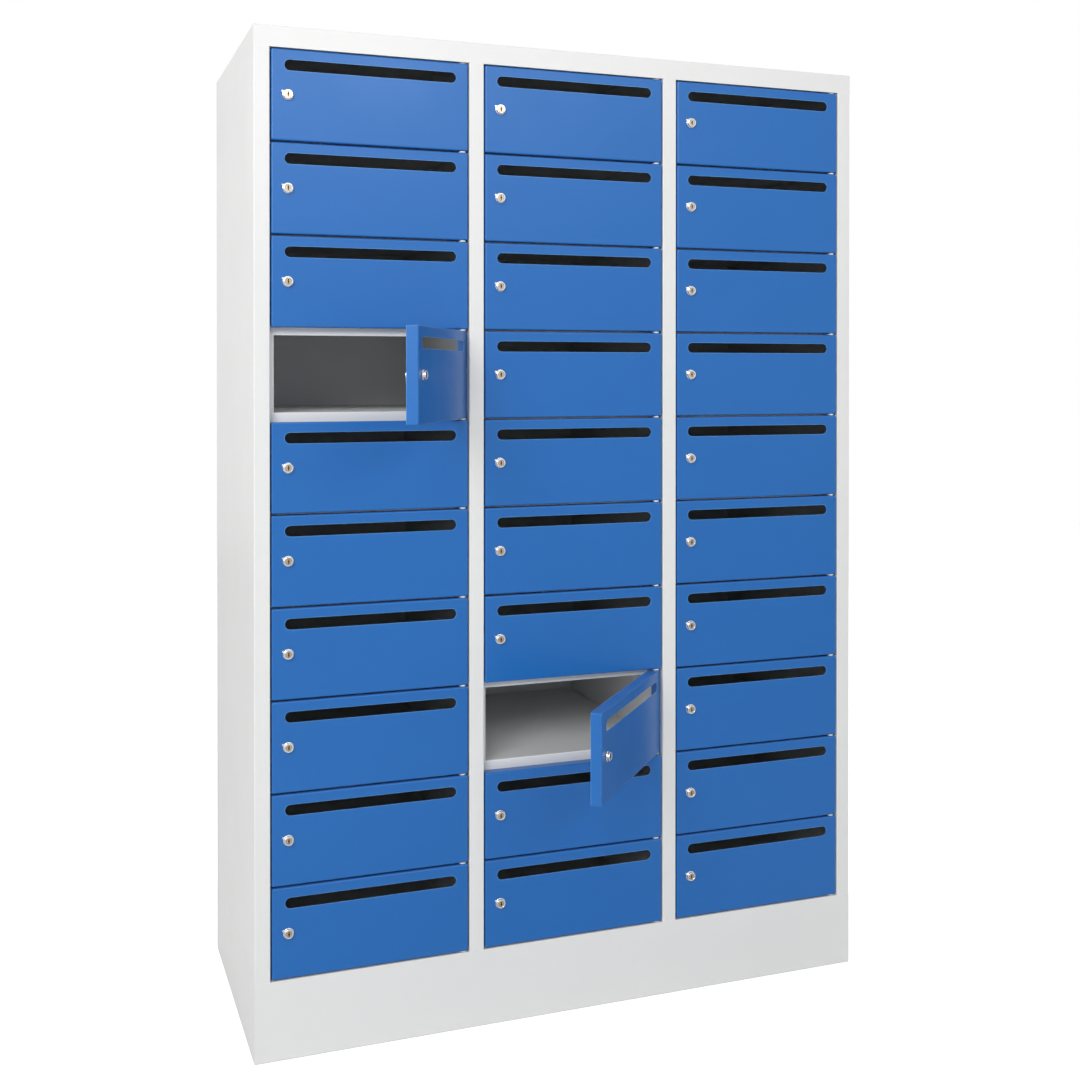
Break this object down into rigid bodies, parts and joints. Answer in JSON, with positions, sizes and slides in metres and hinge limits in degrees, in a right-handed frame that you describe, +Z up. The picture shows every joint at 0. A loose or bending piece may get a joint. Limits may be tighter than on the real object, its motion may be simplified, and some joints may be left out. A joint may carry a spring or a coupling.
{
  "type": "mail locker",
  "caption": "Free-standing sheet-steel mail locker: a grid of small doors on vertical pins, each with a letter slot and a cam lock, above a plain plinth.",
  "frame": {"origin": "middle of the footprint on the floor, which is the middle of the floor anchor holes", "axes": "+Z up, -Y towards the doors, +X to the right as seen from the front"},
  "size_m": [1.2, 0.7991, 1.8],
  "materials": {
    "cabinet_grey": "satin light-grey powder coat",
    "door_blue": "satin blue powder coat",
    "lock_nickel": "polished nickel plate",
    "zinc_plate": "dull zinc plate"
  },
  "bodies": {
    "cabinet": {"side_panel_left": "cabinet_grey", "side_panel_right": "cabinet_grey", "back_panel": "cabinet_grey", "top_panel": "cabinet_grey", "bottom_panel": "cabinet_grey", "partition_left": "cabinet_grey", "partition_right": "cabinet_grey", "front_stile_left": "cabinet_grey", "front_stile_right": "cabinet_grey", "shelves_left": "cabinet_grey", "shelves_middle": "cabinet_grey", "shelves_right": "cabinet_grey", "plinth_front": "cabinet_grey", "plinth_back": "cabinet_grey", "plinth_left": "cabinet_grey", "plinth_right": "cabinet_grey", "plinth_corners": "cabinet_grey", "plinth_bolts": "zinc_plate", "back_rivets": "zinc_plate", "hinge_lugs": "cabinet_grey", "hinge_pins": "zinc_plate"},
    "door_left_01": {"door_left_01": "door_blue"},
    "door_left_02": {"door_left_02": "door_blue"},
    "door_left_03": {"door_left_03": "door_blue"},
    "door_left_04": {"door_left_04": "door_blue", "lock_housing_left_04": "lock_nickel", "lock_nut_left_04": "zinc_plate"},
    "lock_rotor_left_04": {"lock_plug_left_04": "lock_nickel", "lock_cam_left_04": "zinc_plate"},
    "door_left_05": {"door_left_05": "door_blue"},
    "door_left_06": {"door_left_06": "door_blue"},
    "door_left_07": {"door_left_07": "door_blue"},
    "door_left_08": {"door_left_08": "door_blue"},
    "door_left_09": {"door_left_09": "door_blue"},
    "door_left_10": {"door_left_10": "door_blue"},
    "door_middle_01": {"door_middle_01": "door_blue"},
    "door_middle_02": {"door_middle_02": "door_blue"},
    "door_middle_03": {"door_middle_03": "door_blue"},
    "door_middle_04": {"door_middle_04": "door_blue"},
    "door_middle_05": {"door_middle_05": "door_blue"},
    "door_middle_06": {"door_middle_06": "door_blue"},
    "door_middle_07": {"door_middle_07": "door_blue"},
    "door_middle_08": {"door_middle_08": "door_blue", "lock_housing_middle_08": "lock_nickel", "lock_nut_middle_08": "zinc_plate"},
    "lock_rotor_middle_08": {"lock_plug_middle_08": "lock_nickel", "lock_cam_middle_08": "zinc_plate"},
    "door_middle_09": {"door_middle_09": "door_blue"},
    "door_middle_10": {"door_middle_10": "door_blue"},
    "door_right_01": {"door_right_01": "door_blue"},
    "door_right_02": {"door_right_02": "door_blue"},
    "door_right_03": {"door_right_03": "door_blue"},
    "door_right_04": {"door_right_04": "door_blue"},
    "door_right_05": {"door_right_05": "door_blue"},
    "door_right_06": {"door_right_06": "door_blue"},
    "door_right_07": {"door_right_07": "door_blue"},
    "door_right_08": {"door_right_08": "door_blue"},
    "door_right_09": {"door_right_09": "door_blue"},
    "door_right_10": {"door_right_10": "door_blue"}
  },
  "joints": [
    {"name": "hinge_left_01", "type": "hinge", "parent": "cabinet", "child": "door_left_01", "pos_m": [-0.22084, -0.2435, 1.68118], "axis": [0, 0, 1], "range_deg": [0, 110]},
    {"name": "hinge_left_02", "type": "hinge", "parent": "cabinet", "child": "door_left_02", "pos_m": [-0.22084, -0.2435, 1.51903], "axis": [0, 0, 1], "range_deg": [0, 110]},
    {"name": "hinge_left_03", "type": "hinge", "parent": "cabinet", "child": "door_left_03", "pos_m": [-0.22084, -0.2435, 1.35688], "axis": [0, 0, 1], "range_deg": [0, 110]},
    {"name": "hinge_left_04", "type": "hinge", "parent": "cabinet", "child": "door_left_04", "pos_m": [-0.22084, -0.2435, 1.19473], "axis": [0, 0, 1], "range_deg": [-60, 50]},
    {"name": "lock_turn_left_04", "type": "hinge", "parent": "door_left_04", "child": "lock_rotor_left_04", "pos_m": [-0.37519, -0.52385, 1.19473], "axis": [-0.866, 0.5, 0], "range_deg": [0, 90]},
    {"name": "hinge_left_05", "type": "hinge", "parent": "cabinet", "child": "door_left_05", "pos_m": [-0.22084, -0.2435, 1.03258], "axis": [0, 0, 1], "range_deg": [0, 110]},
    {"name": "hinge_left_06", "type": "hinge", "parent": "cabinet", "child": "door_left_06", "pos_m": [-0.22084, -0.2435, 0.87043], "axis": [0, 0, 1], "range_deg": [0, 110]},
    {"name": "hinge_left_07", "type": "hinge", "parent": "cabinet", "child": "door_left_07", "pos_m": [-0.22084, -0.2435, 0.70827], "axis": [0, 0, 1], "range_deg": [0, 110]},
    {"name": "hinge_left_08", "type": "hinge", "parent": "cabinet", "child": "door_left_08", "pos_m": [-0.22084, -0.2435, 0.54612], "axis": [0, 0, 1], "range_deg": [0, 110]},
    {"name": "hinge_left_09", "type": "hinge", "parent": "cabinet", "child": "door_left_09", "pos_m": [-0.22084, -0.2435, 0.38398], "axis": [0, 0, 1], "range_deg": [0, 110]},
    {"name": "hinge_left_10", "type": "hinge", "parent": "cabinet", "child": "door_left_10", "pos_m": [-0.22084, -0.2435, 0.22182], "axis": [0, 0, 1], "range_deg": [0, 110]},
    {"name": "hinge_middle_01", "type": "hinge", "parent": "cabinet", "child": "door_middle_01", "pos_m": [0.16983, -0.2435, 1.68118], "axis": [0, 0, 1], "range_deg": [0, 110]},
    {"name": "hinge_middle_02", "type": "hinge", "parent": "cabinet", "child": "door_middle_02", "pos_m": [0.16983, -0.2435, 1.51903], "axis": [0, 0, 1], "range_deg": [0, 110]},
    {"name": "hinge_middle_03", "type": "hinge", "parent": "cabinet", "child": "door_middle_03", "pos_m": [0.16983, -0.2435, 1.35688], "axis": [0, 0, 1], "range_deg": [0, 110]},
    {"name": "hinge_middle_04", "type": "hinge", "parent": "cabinet", "child": "door_middle_04", "pos_m": [0.16983, -0.2435, 1.19473], "axis": [0, 0, 1], "range_deg": [0, 110]},
    {"name": "hinge_middle_05", "type": "hinge", "parent": "cabinet", "child": "door_middle_05", "pos_m": [0.16983, -0.2435, 1.03258], "axis": [0, 0, 1], "range_deg": [0, 110]},
    {"name": "hinge_middle_06", "type": "hinge", "parent": "cabinet", "child": "door_middle_06", "pos_m": [0.16983, -0.2435, 0.87043], "axis": [0, 0, 1], "range_deg": [0, 110]},
    {"name": "hinge_middle_07", "type": "hinge", "parent": "cabinet", "child": "door_middle_07", "pos_m": [0.16983, -0.2435, 0.70827], "axis": [0, 0, 1], "range_deg": [0, 110]},
    {"name": "hinge_middle_08", "type": "hinge", "parent": "cabinet", "child": "door_middle_08", "pos_m": [0.16983, -0.2435, 0.54612], "axis": [0, 0, 1], "range_deg": [-48, 62]},
    {"name": "lock_turn_middle_08", "type": "hinge", "parent": "door_middle_08", "child": "lock_rotor_middle_08", "pos_m": [-0.03944, -0.48563, 0.54612], "axis": [-0.7431, 0.6691, 0], "range_deg": [0, 90]},
    {"name": "hinge_middle_09", "type": "hinge", "parent": "cabinet", "child": "door_middle_09", "pos_m": [0.16983, -0.2435, 0.38398], "axis": [0, 0, 1], "range_deg": [0, 110]},
    {"name": "hinge_middle_10", "type": "hinge", "parent": "cabinet", "child": "door_middle_10", "pos_m": [0.16983, -0.2435, 0.22182], "axis": [0, 0, 1], "range_deg": [0, 110]},
    {"name": "hinge_right_01", "type": "hinge", "parent": "cabinet", "child": "door_right_01", "pos_m": [0.5605, -0.2435, 1.68118], "axis": [0, 0, 1], "range_deg": [0, 110]},
    {"name": "hinge_right_02", "type": "hinge", "parent": "cabinet", "child": "door_right_02", "pos_m": [0.5605, -0.2435, 1.51903], "axis": [0, 0, 1], "range_deg": [0, 110]},
    {"name": "hinge_right_03", "type": "hinge", "parent": "cabinet", "child": "door_right_03", "pos_m": [0.5605, -0.2435, 1.35688], "axis": [0, 0, 1], "range_deg": [0, 110]},
    {"name": "hinge_right_04", "type": "hinge", "parent": "cabinet", "child": "door_right_04", "pos_m": [0.5605, -0.2435, 1.19473], "axis": [0, 0, 1], "range_deg": [0, 110]},
    {"name": "hinge_right_05", "type": "hinge", "parent": "cabinet", "child": "door_right_05", "pos_m": [0.5605, -0.2435, 1.03258], "axis": [0, 0, 1], "range_deg": [0, 110]},
    {"name": "hinge_right_06", "type": "hinge", "parent": "cabinet", "child": "door_right_06", "pos_m": [0.5605, -0.2435, 0.87043], "axis": [0, 0, 1], "range_deg": [0, 110]},
    {"name": "hinge_right_07", "type": "hinge", "parent": "cabinet", "child": "door_right_07", "pos_m": [0.5605, -0.2435, 0.70827], "axis": [0, 0, 1], "range_deg": [0, 110]},
    {"name": "hinge_right_08", "type": "hinge", "parent": "cabinet", "child": "door_right_08", "pos_m": [0.5605, -0.2435, 0.54612], "axis": [0, 0, 1], "range_deg": [0, 110]},
    {"name": "hinge_right_09", "type": "hinge", "parent": "cabinet", "child": "door_right_09", "pos_m": [0.5605, -0.2435, 0.38398], "axis": [0, 0, 1], "range_deg": [0, 110]},
    {"name": "hinge_right_10", "type": "hinge", "parent": "cabinet", "child": "door_right_10", "pos_m": [0.5605, -0.2435, 0.22182], "axis": [0, 0, 1], "range_deg": [0, 110]}
  ]
}
